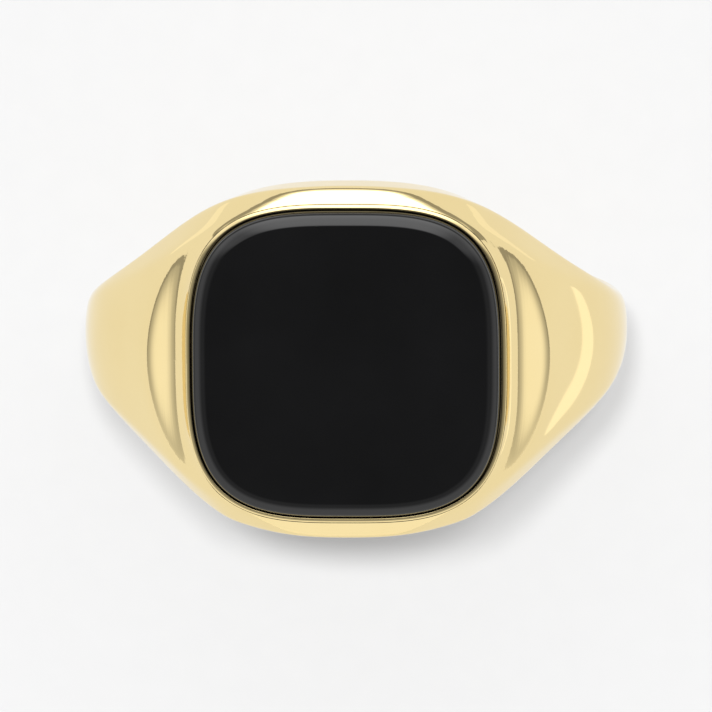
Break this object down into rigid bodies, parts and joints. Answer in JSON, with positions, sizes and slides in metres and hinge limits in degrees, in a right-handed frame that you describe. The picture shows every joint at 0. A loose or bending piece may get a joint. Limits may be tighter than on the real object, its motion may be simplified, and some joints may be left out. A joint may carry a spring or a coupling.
{
  "type": "signet ring",
  "caption": "Signet ring with a plain tapering band, a cushion-shaped head and a flat polished black stone held in a thin bezel.",
  "frame": {"origin": "centre of the finger hole", "axes": "+Y along the finger, +Z from the finger hole's centre out through the stone, +X across the ring"},
  "size_m": [0.0216, 0.0138, 0.0232],
  "materials": {
    "gold": "mirror-polished yellow gold",
    "onyx": "polished black",
    "cement": "cured setting cement"
  },
  "bodies": {
    "root": {"ring_body": "gold", "bezel_collar": "gold", "onyx_stone": "onyx", "stone_cement": "cement"}
  },
  "joints": []
}
